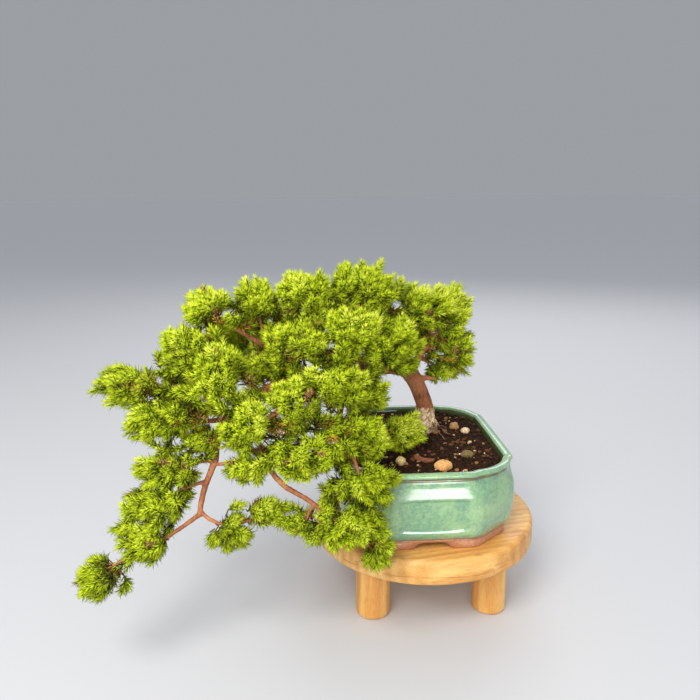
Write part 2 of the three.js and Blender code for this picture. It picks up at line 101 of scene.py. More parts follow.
def mathNode(tree, operation, first, second=0.0):
    return addNode(tree, "Math", {0: first, 1: second}, operation=operation).outputs[0]


def product(tree, first, second):
    return mathNode(tree, "MULTIPLY", first, second)


def mixColour(tree, factor, first, second, blend="MIX"):
    first, second = [(*c, 1) if isinstance(c, tuple) and len(c) == 3 else c for c in (first, second)]
    mix = addNode(tree, "Mix", {0: factor, 6: first, 7: second}, data_type="RGBA", blend_type=blend)
    return mix.outputs[2]


def noiseNode(tree, vector, scale, detail=4.0, roughness=0.55, distortion=0.0):
    made = addNode(tree, "TexNoise", {
        "Vector": vector, "Scale": scale, "Detail": detail, "Roughness": roughness, "Distortion": distortion})
    return made.outputs[0]


def startMaterial(name, **principled):
    material = bpy.data.materials.new(name)
    material.use_nodes = True
    shader = material.node_tree.nodes["Principled BSDF"]
    for key, value in principled.items():
        shader.inputs[key.replace("_", " ")].default_value = value
    return material, material.node_tree, shader


def millimetres(tree, stretch=(1, 1, 1), turn=(0, 0, 0)):  # Object coordinates in mm, stretched for a pattern
    place = addNode(tree, "TexCoord").outputs["Object"]
    middle = addNode(tree, "Mapping", {"Vector": place, "Location": -standMiddle, "Rotation": turn})
    scaled = addNode(tree, "Mapping", {"Vector": middle.outputs[0], "Scale": [1000 * s for s in stretch]})
    return scaled.outputs[0]


def dress(tree, shader, colour, height, distance, strength):  # the colour, and relief from a height pattern
    tree.links.new(colour, shader.inputs["Base Color"])
    bump = addNode(tree, "Bump", {"Height": height, "Distance": distance, "Strength": strength})
    tree.links.new(bump.outputs[0], shader.inputs["Normal"])


# ---- finished pieces ----
def finishPiece(bm, name, material, cadNodes, smooth=True):
    bmesh.ops.transform(bm, matrix=toFrame, verts=bm.verts)
    mesh = bpy.data.meshes.new(name)
    bm.to_mesh(mesh)
    bm.free()
    return finishMesh(mesh, name, material, cadNodes, smooth)


def finishMesh(mesh, name, material, cadNodes, smooth=True):
    mesh.materials.clear()
    mesh.materials.append(material)
    mesh.polygons.foreach_set("use_smooth", [smooth] * len(mesh.polygons))
    piece = bpy.data.objects.new(name, mesh)
    sceneCollection.objects.link(piece)
    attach(piece, "root")
    if cadNodes:
        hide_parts(*cadNodes)
    return piece


def cadCopy(node):  # the node's solid, its loose triangles joined, in stand millimetres
    bm = bmesh.new()
    bm.from_mesh(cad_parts[node].data)
    bmesh.ops.transform(bm, matrix=toStand, verts=bm.verts)
    bmesh.ops.remove_doubles(bm, verts=bm.verts, dist=0.002)
    return bm


def evaluated(bm, kind, **settings):  # the shape after one modifier, as a new bmesh
    mesh = bpy.data.meshes.new("worker")
    bm.to_mesh(mesh)
    bm.free()
    worker = bpy.data.objects.new("worker", mesh)
    sceneCollection.objects.link(worker)
    modifier = worker.modifiers.new("shaping", kind)
    for key, value in settings.items():
        setattr(modifier, key, value)
    shaped = bpy.data.meshes.new_from_object(worker.evaluated_get(bpy.context.evaluated_depsgraph_get()))
    result = bmesh.new()
    result.from_mesh(shaped)
    bpy.data.objects.remove(worker)
    return result


def surfaceTree(bm):  # for dropping things on a surface
    bm.normal_update()
    return BVHTree.FromBMesh(bm)


def remeshed(bm, voxel):  # one even skin over the whole shape
    return evaluated(bm, "REMESH", mode="VOXEL", voxel_size=voxel, adaptivity=0)


def softened(bm, factor):
    axes = {"use_axis_" + axis: True for axis in "xyz"}
    bmesh.ops.smooth_vert(bm, verts=bm.verts, factor=factor, **axes)


def cutAway(bm, cutters):
    mesh = bpy.data.meshes.new("cutters")
    cutters.to_mesh(mesh)
    cutters.free()
    tool = bpy.data.objects.new("cutters", mesh)
    sceneCollection.objects.link(tool)
    result = evaluated(bm, "BOOLEAN", operation="DIFFERENCE", solver="EXACT", object=tool)
    bpy.data.objects.remove(tool)
    return result


# ---- camera, light and floor ----
cameraSettings = {
    "place": (-85.4, -495.2, 302.9), "lens": 35.3,
    "down": 12.9, "right": 3.4, "roll": -0.5,
}
lights = {  # place and aim in metres, width and height, watts, colour
    "key": ((-0.5, -0.9, 1.2), (-0.03, 0, 0.12), (0.7, 0.6), 18, (1, 0.985, 0.95)),
    "front": ((-0.30, -1.35, 0.85), (-0.03, 0, 0.12), (0.95, 0.5), 9.5),
    "window": ((0.325, -1.33, 0.16), (0.08, 0, 0.16), (0.22, 0.28), 2.4),   # glints on the pot's shoulder
    "back": ((0.5, 1.2, 1.1), (0, 0, 0.12), (1.2, 0.8), 8),
}
room = {
    "light": (0.86, 0.90, 0.97, 1), "strength": 0.62, "seen": (0.33, 0.345, 0.365, 1),
    "floor": (0.56, 0.56, 0.57, 1), "floorReach": 40,
}


def addCamera(s):
    data = bpy.data.cameras.new("camera")
    data.lens, data.sensor_width = s["lens"], 36
    data.clip_start = 0.01
    camera = bpy.data.objects.new("camera", data)
    sceneCollection.objects.link(camera)
    camera.location = toFrame @ Vector(s["place"])
    down, right = math.radians(s["down"]), math.radians(s["right"])
    ahead = Vector((math.sin(right) * math.cos(down), math.cos(right) * math.cos(down), -math.sin(down)))
    turn = ahead.to_track_quat("-Z", "Y") @ Quaternion((0, 0, 1), math.radians(s["roll"]))
    camera.rotation_euler = turn.to_euler()
    bpy.context.scene.camera = camera


def addAreaLight(name, place, aim, size, watts, colour=(1, 1, 1)):
    data = bpy.data.lights.new(name, "AREA")
    data.shape, data.size, data.size_y = "RECTANGLE", size[0], size[1]
    data.energy, data.color = watts, colour
    light = bpy.data.objects.new(name, data)
    sceneCollection.objects.link(light)
    light.location = place
    light.rotation_euler = (Vector(aim) - Vector(place)).to_track_quat("-Z", "Y").to_euler()


def addFloor(s=room):
    bm = bmesh.new()
    bmesh.ops.create_grid(bm, x_segments=1, y_segments=1, size=s["floorReach"])
    mesh = bpy.data.meshes.new("floor")
    bm.to_mesh(mesh)
    bm.free()
    floor = bpy.data.objects.new("floor", mesh)
    sceneCollection.objects.link(floor)
    material, _, shader = startMaterial("paleFloor", Roughness=0.7)
    shader.inputs["Base Color"].default_value = s["floor"]
    mesh.materials.append(material)


def addRoom(s=room):  # pale light from all round; what the camera sees of it is a shade nearer to the floor
    world = bpy.data.worlds.new("paleRoom")
    bpy.context.scene.world = world
    world.use_nodes = True
    tree = world.node_tree
    light = tree.nodes["Background"]
    light.inputs["Color"].default_value, light.inputs["Strength"].default_value = s["light"], s["strength"]
    seen = addNode(tree, "Background", {"Color": s["seen"], "Strength": 1.0})
    mix = addNode(tree, "MixShader", {0: addNode(tree, "LightPath").outputs["Is Camera Ray"],
                                      1: light.outputs[0], 2: seen.outputs[0]})
    tree.links.new(mix.outputs[0], tree.nodes["World Output"].inputs["Surface"])


def addStudio():
    addCamera(cameraSettings)
    addFloor()
    for name, look in lights.items():
        addAreaLight(name, *look)
    addRoom()
    bpy.context.scene.view_settings.view_transform = "Standard"
    print("studio ready")


# ---- shader groups shared by several materials ----
def startGroup(name, inputs, outputs):
    group = bpy.data.node_groups.new(name, "ShaderNodeTree")
    for socketName, socketType in inputs:
        group.interface.new_socket(socketName, in_out="INPUT", socket_type="NodeSocket" + socketType)
    for socketName, socketType in outputs:
        group.interface.new_socket(socketName, in_out="OUTPUT", socket_type="NodeSocket" + socketType)
    return group, group.nodes.new("NodeGroupInput"), group.nodes.new("NodeGroupOutput")


speck = {"edge": 0.32, "core": 0.12}   # in cells


def makeSpeckleGroup(s=speck):  # scattered specks: 1 inside a speck, 0 between
    group, given, result = startGroup(
        "speckle", [("Vector", "Vector"), ("Scale", "Float"), ("Amount", "Float")], [("Mask", "Float")])
    cells = addNode(group, "TexVoronoi", {"Vector": given.outputs[0], "Scale": given.outputs[1]})
    chance = addNode(group, "SeparateColor", {0: cells.outputs["Color"]}).outputs[0]
    chosen = mathNode(group, "LESS_THAN", chance, given.outputs[2])
    near = valueRamp(group, cells.outputs["Distance"], s["edge"], s["core"])
    group.links.new(product(group, chosen, near), result.inputs[0])
    return group


def useGroup(tree, group, **inputs):
    made = tree.nodes.new("ShaderNodeGroup")
    made.node_tree = group
    fillInputs(tree, made, inputs)
    return made.outputs[0]


speckleGroup = makeSpeckleGroup()

# ---- the stand ----
timber = {
    "pale": srgb(238, 192, 114), "deep": srgb(214, 154, 78), "line": srgb(180, 114, 54),
    "bark": srgb(158, 90, 44), "skew": -12, "rings": 0.055, "ringBend": 9.0, "ringShare": 0.12,
    "wander": 0.06, "wanderShare": 0.9, "fibre": 1.6, "fibreDepth": 0.65, "streak": 0.22, "streakDepth": 0.55,
    "barkBand": (6.5, 2.5), "crackAt": 7.5, "crackWidth": 0.75, "crackWave": 9, "rimDepth": 0.7,
}


def makeTimber(name, along, s=timber):
    # along turns the grain: a leg's runs up, the disc's across
    material, tree, shader = startMaterial(name, Roughness=0.45)
    turn = (0, math.radians(90), 0) if along == "up" else (0, 0, math.radians(s["skew"]))
    place = millimetres(tree, (0.10, 1, 1), turn)
    wander = noiseNode(tree, place, s["wander"], 4, 0.6)
    rings = addNode(tree, "TexWave", {
        "Vector": place, "Scale": s["rings"], "Distortion": s["ringBend"], "Detail": 4, "Detail Scale": 0.5},
        wave_type="BANDS", bands_direction="Y", wave_profile="SIN")
    fibre = noiseNode(tree, place, s["fibre"], 6, 0.65)
    tone = mathNode(tree, "ADD", product(tree, rings.outputs["Fac"], s["ringShare"]),
                    product(tree, wander, s["wanderShare"]))
    colour = colourRamp(tree, tone, [(0.34, s["pale"]), (0.6, s["deep"]), (0.85, s["line"])])
    fine = colourRamp(tree, fibre, [(0.32, (0.66, 0.56, 0.42)), (0.52, (1, 1, 1))])
    colour = mixColour(tree, s["fibreDepth"], colour, fine, "MULTIPLY")
    streak = noiseNode(tree, millimetres(tree, (0.05, 1, 0.6), turn), s["streak"], 3, 0.6, 0.3)
    streaked = product(tree, valueRamp(tree, streak, 0.60, 0.72), s["streakDepth"])
    colour = mixColour(tree, streaked, colour, s["line"])
    if along == "across":
        colour = weatheredRim(tree, colour)
    dress(tree, shader, colour, fibre, 0.0002, 0.5)
    return material


def weatheredRim(tree, colour, s=timber):  # bark left on the rim's upper edge, and a drying crack lower down
    height = addNode(tree, "SeparateXYZ", {0: millimetres(tree)}).outputs["Z"]
    low, high = s["barkBand"]
    edge = product(tree, valueRamp(tree, height, standTop - low, standTop - high),
                   valueRamp(tree, height, standTop + 0.6, standTop - 0.2))
    patch = noiseNode(tree, millimetres(tree, (0.5, 0.7, 1)), 0.07, 6, 0.72, 0.3)
    patchy = product(tree, valueRamp(tree, patch, 0.54, 0.68), s["rimDepth"])
    colour = mixColour(tree, product(tree, patchy, edge), colour, s["bark"])
    wavy = product(tree, noiseNode(tree, millimetres(tree), 0.018, 2), s["crackWave"])
    level = mathNode(tree, "ADD", height, wavy)
    away = mathNode(tree, "ABSOLUTE", mathNode(tree, "SUBTRACT", level, standTop - s["crackAt"]))
    broken = valueRamp(tree, noiseNode(tree, millimetres(tree), 0.035, 3), 0.47, 0.56)
    crack = product(tree, valueRamp(tree, away, s["crackWidth"], 0.2), broken)
    return mixColour(tree, product(tree, crack, s["rimDepth"]), colour, s["line"])


def spunSolid(profile, steps):  # profile points, radius and height, spun into a closed solid
    bm = bmesh.new()
    verts = [bm.verts.new((radius, 0, height)) for radius, height in profile]
    edges = [bm.edges.new(pair) for pair in zip(verts, verts[1:])]
    bmesh.ops.spin(bm, geom=verts + edges, axis=(0, 0, 1), cent=(0, 0, 0), angle=2 * math.pi, steps=steps,
                   use_merge=True)
    bmesh.ops.remove_doubles(bm, verts=bm.verts, dist=0.001)
    bmesh.ops.recalc_face_normals(bm, faces=bm.faces)
    return bm


def roundedProfile(radius, low, high, lowRound, highRound, steps=5):
    points = [(0, low)]
    for i in range(steps + 1):
        angle = math.pi / 2 * i / steps
        points.append((radius - lowRound * (1 - math.sin(angle)), low + lowRound * (1 - math.cos(angle))))
    for i in range(steps + 1):
        angle = math.pi / 2 * i / steps
        points.append((radius - highRound * (1 - math.cos(angle)), high - highRound * (1 - math.sin(angle))))
    return points + [(0, high)]


def handTurned(bm, size, depth, seed):  # the small unevenness of a sanded, hand-turned piece
    for vert in bm.verts:
        away = Vector((vert.co.x, vert.co.y, 0))
        if away.length > 1:
            away.normalize()
            vert.co += away * depth * noise.noise(vert.co / size + Vector((seed, 0, 0)))


stand = {
    "discEdge": 3.5, "discSteps": 120, "discWave": (40, 0.8),   # a wave's length and depth
    "legFoot": 2.4, "legTop": 0.3, "legSteps": 48, "legWave": (14, 0.35), "gap": 0.05,
}


def makeStand(s=stand):
    timberAcross, timberUp = makeTimber("timberAcross", "across"), makeTimber("timberUp", "up")
    low, high = boxInMm("stand_top")
    bm = spunSolid(roundedProfile(high.x, low.z, high.z, s["discEdge"], s["discEdge"]), s["discSteps"])
    handTurned(bm, *s["discWave"], 3)
    finishPiece(bm, "standDisc", timberAcross, ["stand_top"])
    for i in range(1, 5):
        node = f"stand_leg_{i}"
        legLow, legHigh = boxInMm(node)
        centre = (legLow + legHigh) / 2
        radius = (legHigh.x - legLow.x) / 2
        profile = roundedProfile(radius, legLow.z, low.z - s["gap"], s["legFoot"], s["legTop"])
        bm = spunSolid(profile, s["legSteps"])
        handTurned(bm, *s["legWave"], i)
        bmesh.ops.translate(bm, vec=(centre.x, centre.y, 0), verts=bm.verts)
        finishPiece(bm, f"standLeg{i}", timberUp, [node])
    print("stand ready")


# ---- the pot ----
glaze = {
    "body": srgb(138, 172, 126), "deep": srgb(106, 148, 116), "pale": srgb(160, 188, 138),
    "thin": srgb(112, 86, 58), "poolAndShade": srgb(92, 134, 112), "mauve": srgb(128, 142, 134),
    "clay": srgb(194, 138, 102), "speck": srgb(62, 96, 66), "inside": srgb(74, 84, 46), "clayTop": (7.5, 7.1),
}
potPlan = {
    "cutX": 29.2, "cutY": 25.5, "bend": 7.0, "bendSteps": 5, "lobeSteps": 6, "lobe": 2.7, "notch": 0.14,
    # the corner bends' share of the darker pooled colour is painted shade
    "lobeFrom": 40, "lobeOver": 12, "lobeFade": 7, "belly": 0.9, "lipFrom": 50, "bendShade": 0.6,
}
potPanels = {
    "low": 13, "high": 41, "border": 0.8, "slope": 2.2, "depth": 1.1, "pooled": 3.0,
    "facing": 0.97, "nearSide": 4, "broad": 30,
}
footRing = {
    "outer": 5.0, "inner": 13.0, "top": 7.6, "chamfer": (0.8, 1.0), "rise": 5.4,
    "archShort": 30, "archLong": 66, "through": 240,
}
drainHoles = {"radius": 6, "apart": 30, "through": 20}
# distance inside the rim, height over the foot and kind of glaze, from the foot ring's inner edge up the
# outside, over the lip and down the inner wall
potProfile = [
    (14, 7.3, "thin"), (7.0, 7.3, "thin"), (4.8, 7.5, "thin"), (3.6, 8.1, "thin"), (2.3, 9.2, "poolAndShade"),
    (1.3, 10.9, "poolAndShade"), (0.6, 13.2, ""), (0.0, 17.5, ""), (-0.6, 22, ""), (-0.9, 27.5, ""), (-0.9, 33, ""),
    (-0.75, 37.5, ""), (-0.5, 40, ""), (0.1, 42.5, ""), (0.75, 45, ""), (1.15, 47, ""), (1.35, 49, "poolAndShade"),
    (1.5, 50.8, "poolAndShade"), (2.1, 52.1, "thin"), (2.0, 53.1, "thin"), (0.8, 53.6, ""), (0.0, 54.2, ""),
    (-0.3, 55.2, ""), (0.0, 56.4, ""), (0.9, 57.2, ""), (2.2, 57.4, ""), (4.3, 57.2, ""), (5.5, 56.5, ""),
    (6.2, 55.2, "inner"), (6.7, 52, "inner"), (7.0, 46, "inner"), (7.3, 30, "inner"), (7.6, 14.5, "inner"),
    (9.5, 12.5, "inner"),
]


def potMiddle():
    low, high = boxInMm("pot")
    return (low + high) / 2, (high - low) / 2, low.z


def levelOutline(halfX, halfY, inset, height, s=potPlan):
    # one level outline of the pot: a rectangle whose corners are cut off and each bend rounded. Towards the
    # lip each cut swells between two notches.
    x, y = halfX - inset, halfY - inset
    slant = math.hypot(s["cutX"], s["cutY"])
    keep = 1 - inset * (s["cutX"] + s["cutY"] - slant) / (s["cutX"] * s["cutY"])
    cutX, cutY = s["cutX"] * keep, s["cutY"] * keep
    corners = []
    for sideX, sideY, flip in ((1, -1, True), (1, 1, False), (-1, 1, True), (-1, -1, False)):
        pair = [Vector((sideX * x, sideY * (y - cutY))), Vector((sideX * (x - cutX), sideY * y))]
        corners += reversed(pair) if flip else pair
    bend = s["bend"] - 0.2 * inset
    rise = min(max((height - s["lobeFrom"]) / s["lobeOver"], 0), 1)
    lobe = s["lobe"] * rise * rise * (3 - 2 * rise)
    points = []
    for k in range(0, 8, 2):   # each pair of corners ends one cut
        first, second = corners[k], corners[k + 1]
        along = (second - first).normalized()
        outward = Vector((along.y, -along.x))
        cut = roundedBend(corners[k - 1], first, second, bend, s["bendSteps"])
        start, end = first + along * bend, second - along * bend
        cut += [start.lerp(end, i / s["lobeSteps"]) for i in range(1, s["lobeSteps"])]
        cut += roundedBend(first, second, corners[(k + 2) % 8], bend, s["bendSteps"])
        for point in cut:
            t = (point - first).dot(along) / (second - first).length
            fade = min(max(1 + t * s["lobeFade"], 0), 1) * min(max(1 + (1 - t) * s["lobeFade"], 0), 1)
            swell = 0.35 - 1.35 * math.cos(math.pi * min(max(t, 0), 1)) ** 4
            onBend = 0 < t < s["notch"] or 1 - s["notch"] < t < 1
            points.append((point + outward * lobe * swell * fade, onBend))
    return points


def curved(start, bend, end, steps=5):
    shares = [i / steps for i in range(steps + 1)]
    return [start * (1 - t) ** 2 + bend * 2 * t * (1 - t) + end * t * t for t in shares]


def roundedBend(before, here, after, bend, steps):
    start = here + (before - here).normalized() * bend
    end = here + (after - here).normalized() * bend
    return curved(start, here, end, steps)


def makeGlaze(s=glaze):
    material, tree, shader = startMaterial("celadonGlaze", Coat_Weight=0.5, Coat_Roughness=0.03)
    place = millimetres(tree)
    cloud = noiseNode(tree, place, 0.028, 3, 0.55, 0.5)
    mottle = noiseNode(tree, place, 0.5, 6, 0.7)
    tone = mathNode(tree, "ADD", product(tree, cloud, 0.55), product(tree, mottle, 0.45))
    colour = colourRamp(tree, tone, [(0.38, s["deep"]), (0.5, s["body"]), (0.62, s["pale"])])
    specks = useGroup(tree, speckleGroup, Vector=place, Scale=0.42, Amount=0.14)
    colour = mixColour(tree, product(tree, specks, 0.55), colour, s["speck"])

    def painted(name, low, high):   # where the glaze ran thin, pooled in hollows, or lines the inside; on the corner bends the pooled colour is painted shade
        return valueRamp(tree, addNode(tree, "Attribute", attribute_name=name).outputs["Fac"], low, high)

    patchy = noiseNode(tree, place, 0.16, 4, 0.6)
    poolAndShade = product(tree, painted("poolAndShade", 0.15, 0.9), valueRamp(tree, patchy, 0.38, 0.62))
    colour = mixColour(tree, product(tree, poolAndShade, 0.75), colour,
                       mixColour(tree, valueRamp(tree, mottle, 0.5, 0.7), s["poolAndShade"], s["mauve"]))
    colour = mixColour(tree, painted("inner", 0.3, 0.9), colour, s["inside"])
    broken = mathNode(tree, "ADD", valueRamp(tree, patchy, 0.3, 0.5), 0.35)
    thin = mathNode(tree, "MINIMUM", product(tree, painted("thin", 0.15, 0.6), broken), 1.0)
    colour = mixColour(tree, product(tree, thin, 0.85), colour, s["thin"])
    height = addNode(tree, "SeparateXYZ", {0: place}).outputs["Z"]
    uneven = mathNode(tree, "SUBTRACT", patchy, 0.5)
    dipped, undipped = (potMiddle()[2] + level for level in s["clayTop"])
    bare = valueRamp(tree, mathNode(tree, "ADD", height, uneven), dipped, undipped)
    clay = colourRamp(tree, mottle, [(0.3, srgb(164, 106, 74)), (0.6, s["clay"]), (0.8, srgb(212, 162, 128))])
    colour = mixColour(tree, bare, colour, clay)
    rough = mathNode(tree, "ADD", product(tree, bare, 0.6), product(tree, mottle, 0.12))
    tree.links.new(mathNode(tree, "ADD", rough, 0.04), shader.inputs["Roughness"])
    dress(tree, shader, colour, mottle, 0.0003, 0.18)
    return material


def makePot():
    middle, half, base = potMiddle()
    halfX, halfY = half.x - potPlan["belly"], half.y - potPlan["belly"]   # the belly stands outside the rim
    bm = bmesh.new()
    rings = stackOutlines(bm, potProfile, middle, halfX, halfY, base)
    for ring in (rings[0], rings[-1]):
        bmesh.ops.contextual_create(bm, geom=ring)
    bmesh.ops.recalc_face_normals(bm, faces=bm.faces)
    sinkPanels(bm, middle, half, base)
    bm = evaluated(bm, "SUBSURF", levels=2, render_levels=2)
    bm = cutAway(bm, drainCutters(middle, base))
    foot = makeFootRing(middle, halfX, halfY, base)
    footMesh = bpy.data.meshes.new("footRing")
    foot.to_mesh(footMesh)
    bm.from_mesh(footMesh)
    finishPiece(bm, "glazedPot", makeGlaze(), ["pot"])
    print("pot ready")


def stackOutlines(bm, profile, middle, halfX, halfY, base, closed=False):
    glazes = {kind: bm.verts.layers.float.new(kind) for kind in ("thin", "inner", "poolAndShade")}
    rings = []
    for inset, height, kind in profile:
        ring = []
        for point, onBend in levelOutline(halfX, halfY, inset, height):
            vert = bm.verts.new((point.x + middle.x, point.y + middle.y, base + height))
            if kind:
                vert[glazes[kind]] = 1
            # painted shade: the rounded corner bends get part of the darker pooled colour
            if onBend and not kind and height < potPlan["lipFrom"]:
                vert[glazes["poolAndShade"]] = potPlan["bendShade"]
            ring.append(vert)
        rings.append([bm.edges.new(pair) for pair in zip(ring, ring[1:] + ring[:1])])
    for lower, upper in zip(rings, rings[1:] + ([rings[0]] if closed else [])):
        bmesh.ops.bridge_loops(bm, edges=lower + upper)
    return rings


def sinkPanels(bm, middle, half, base, s=potPanels):
    # a shallow rounded panel on each of the four broad faces, its glaze pooled round the edge
    poolAndShade = bm.verts.layers.float["poolAndShade"]
    for axis, reach in ((0, half.x), (1, half.y)):
        for sign in (-1, 1):
            faces = [f for f in bm.faces if f.normal[axis] * sign > s["facing"]
                     and s["low"] < f.calc_center_median().z - base < s["high"]
                     and (f.calc_center_median()[axis] - middle[axis]) * sign > reach - s["nearSide"]
                     and max(e.calc_length() for e in f.edges) > s["broad"]]
            for wide, deep in ((s["border"], 0), (s["slope"], -s["depth"]), (s["pooled"], 0)):
                bmesh.ops.inset_region(bm, faces=faces, thickness=wide, depth=deep, use_even_offset=True)
            within = set(faces)
            for vert in {v for f in faces for v in f.verts}:
                vert[poolAndShade] = 0
                for near in (e.other_vert(vert) for e in vert.link_edges):
                    if not any(f in within for f in near.link_faces):
                        near[poolAndShade] = 1


def makeFootRing(middle, halfX, halfY, base, s=footRing):
    bm = bmesh.new()
    outer, inner, top = s["outer"], s["inner"], s["top"]
    wide, tall = s["chamfer"]
    profile = [(outer + wide, 0, ""), (outer, tall, ""), (outer, top, ""),
               (inner, top, ""), (inner, tall, ""), (inner - wide, 0, "")]
    stackOutlines(bm, profile, middle, halfX, halfY, base, closed=True)
    bmesh.ops.recalc_face_normals(bm, faces=bm.faces)
    cutters = bmesh.new()
    for span, turned in ((s["archShort"], False), (s["archLong"], True)):
        # an ogee arch through both facing sides of the ring
        reach = span / 2
        side = [(reach + 2, -2), (reach, 0.2), (reach - 1.6, 1.2), (reach - 3.6, 3.2),
                (reach - 6.5, s["rise"] - 0.5), (reach - 9.5, s["rise"])]
        points = side + [(-x, z) for x, z in reversed(side)]
        verts = [cutters.verts.new((x, -s["through"] / 2, z)) for x, z in points]
        face = cutters.faces.new(verts)
        grown = bmesh.ops.extrude_face_region(cutters, geom=[face])["geom"]
        moved = [v for v in grown if isinstance(v, bmesh.types.BMVert)]
        bmesh.ops.translate(cutters, vec=(0, s["through"], 0), verts=moved)
        arch = verts + moved
        if turned:
            bmesh.ops.rotate(cutters, matrix=Matrix.Rotation(math.pi / 2, 3, "Z"), verts=arch)
        bmesh.ops.translate(cutters, vec=(middle.x, middle.y, base), verts=arch)
    bmesh.ops.recalc_face_normals(cutters, faces=cutters.faces)
    return cutAway(bm, cutters)


def drainCutters(middle, base, s=drainHoles):
    cutters = bmesh.new()
    for side in (-1, 1):
        place = Matrix.Translation((middle.x, middle.y + side * s["apart"], base + s["through"] / 2))
        bmesh.ops.create_cone(cutters, cap_ends=True, segments=32, radius1=s["radius"], radius2=s["radius"],
                              depth=s["through"], matrix=place)
    return cutters


# ---- the soil, its crumbs and the stones ----
soilLook = {
    "voxel": 1.0, "lumps": 2.6, "rough": 1.0, "grains": 1.1, "gritty": 0.5, "topLayer": 8,
    "dark": srgb(22, 13, 8), "brown": srgb(60, 36, 20), "pale": srgb(104, 66, 36),
    "crumbs": 3200, "crumbSize": (0.45, 1.5), "grown": 1.35, "fromEdge": 2, "seed": 5,
}
crumbShades = [  # share of the crumbs up to here, and the shade column they take
    (0.58, 0.05), (0.90, 0.20), (0.965, 0.36), (0.985, 0.55), (0.995, 0.78), (1.0, 0.95),
]


def makeCrumbMaterial():
    material, tree, shader = startMaterial("soilCrumbs", Roughness=0.9, Specular_IOR_Level=0.15)
    shade = addNode(tree, "SeparateXYZ", {0: addNode(tree, "UVMap", uv_map="OFBake").outputs[0]}).outputs["X"]
    colour = colourRamp(tree, shade, [
        (0.0, srgb(28, 17, 10)), (0.25, srgb(62, 38, 22)), (0.42, srgb(104, 66, 36)),
        (0.6, srgb(160, 112, 68)), (0.8, srgb(206, 172, 122)), (1.0, srgb(236, 222, 196))])
    tree.links.new(colour, shader.inputs["Base Color"])
    return material


def makeSoilMaterial(s=soilLook):
    material, tree, shader = startMaterial("pottingSoil", Roughness=0.95, Specular_IOR_Level=0.1)
    place = millimetres(tree)
    grain = noiseNode(tree, place, 0.9, 6, 0.7)
    colour = colourRamp(tree, grain, [(0.35, s["dark"]), (0.6, s["brown"]), (0.78, s["pale"])])
    dress(tree, shader, colour, grain, 0.0012, 0.8)
    return material


def makeSoil(s=soilLook):
    bm = remeshed(cadCopy("soil"), s["voxel"])
    low, high = boxInMm("soil")
    for vert in bm.verts:
        if vert.co.z > high.z - s["topLayer"] and vert.normal.z > 0.3:
            lump, grain = noise.noise(vert.co / s["lumps"]), noise.noise(vert.co / s["grains"])
            vert.co.z += s["rough"] * lump + s["gritty"] * grain
    surface = surfaceTree(bm)
    finishPiece(bm, "soilMass", makeSoilMaterial(), ["soil"])

    crumb = startMaster()
    bmesh.ops.create_icosphere(crumb, subdivisions=1, radius=1)
    for vert in crumb.verts:
        vert.co *= 1 + 0.35 * noise.noise(vert.co * 1.7)
    master = finishMaster(crumb)
    bm = bmesh.new()
    chance = random.Random(s["seed"])
    middle, half = (low + high) / 2, (high - low) / 2
    for _ in range(s["crumbs"]):
        x = chance.uniform(-1, 1) * (half.x - s["fromEdge"])
        y = chance.uniform(-1, 1) * (half.y - s["fromEdge"])
        hit = surface.ray_cast(Vector((middle.x + x, middle.y + y, high.z + 20)), Vector((0, 0, -1)), 45)
        if hit[0] is None or hit[0].z < high.z - s["topLayer"] - 1:
            continue
        pick = chance.random()
        shade = next(value for share, value in crumbShades if pick <= share) + chance.uniform(-0.03, 0.03)
        size = chance.uniform(*s["crumbSize"]) * (s["grown"] if shade > 0.35 else 1)
        stretch = Vector((chance.uniform(0.7, 1.5), chance.uniform(0.6, 1.1), chance.uniform(0.4, 0.9)))
        around, tilt = chance.uniform(0, 6.3), chance.uniform(-0.6, 0.6)
        turn = Quaternion((0, 0, 1), around) @ Quaternion((1, 0, 0), tilt)
        placeCopy(bm, master, hit[0] + Vector((0, 0, size * 0.25)), turn, stretch * size, shade)
    finishPiece(bm, "soilCrumbs", makeCrumbMaterial(), [], smooth=False)
    print("soil ready")


stoneLooks = {  # node: slot, light colour, dark colour, lumpiness
    "stone_tan_large": ("stone_tan", srgb(236, 184, 112), srgb(186, 124, 66), 0.16),
    "stone_cream": ("stone_cream", srgb(236, 214, 142), srgb(190, 160, 92), 0.18),
    "stone_tan_small": ("stone_tan", srgb(190, 140, 88), srgb(132, 86, 52), 0.2),
    "stone_cream_small": ("stone_cream", srgb(240, 216, 178), srgb(196, 150, 104), 0.2),
    "stone_olive": ("stone_tan", srgb(128, 104, 56), srgb(84, 66, 36), 0.18),
}


def makeStones():
    for i, (node, (slot, light, dark, lump)) in enumerate(stoneLooks.items()):
        low, high = boxInMm(node)
        middle, half = (low + high) / 2, (high - low) / 2
        bm = bmesh.new()
        bmesh.ops.create_icosphere(bm, subdivisions=4, radius=1)
        for vert in bm.verts:
            facet = noise.cell(vert.co * 1.3 + Vector((i * 7, 0, 0)))
            swell = lump * noise.noise(vert.co * 1.4 + Vector((i * 9, 3, 0)))
            vert.co *= 1 - lump * 0.4 + swell + 0.03 * facet
            vert.co = middle + Vector((vert.co.x * half.x, vert.co.y * half.y, vert.co.z * half.z))
        softened(bm, 0.4)
        material, tree, shader = startMaterial(node + "_face", Roughness=0.7)
        place = millimetres(tree)
        grain = noiseNode(tree, place, 0.7, 5, 0.7)
        colour = colourRamp(tree, grain, [(0.35, dark), (0.6, light)])
        dress(tree, shader, colour, grain, 0.0004, 0.5)
        finishPiece(bm, node.replace("_", " ").title().replace(" ", ""), material, [node])
    makeChip()
    print("stones ready")


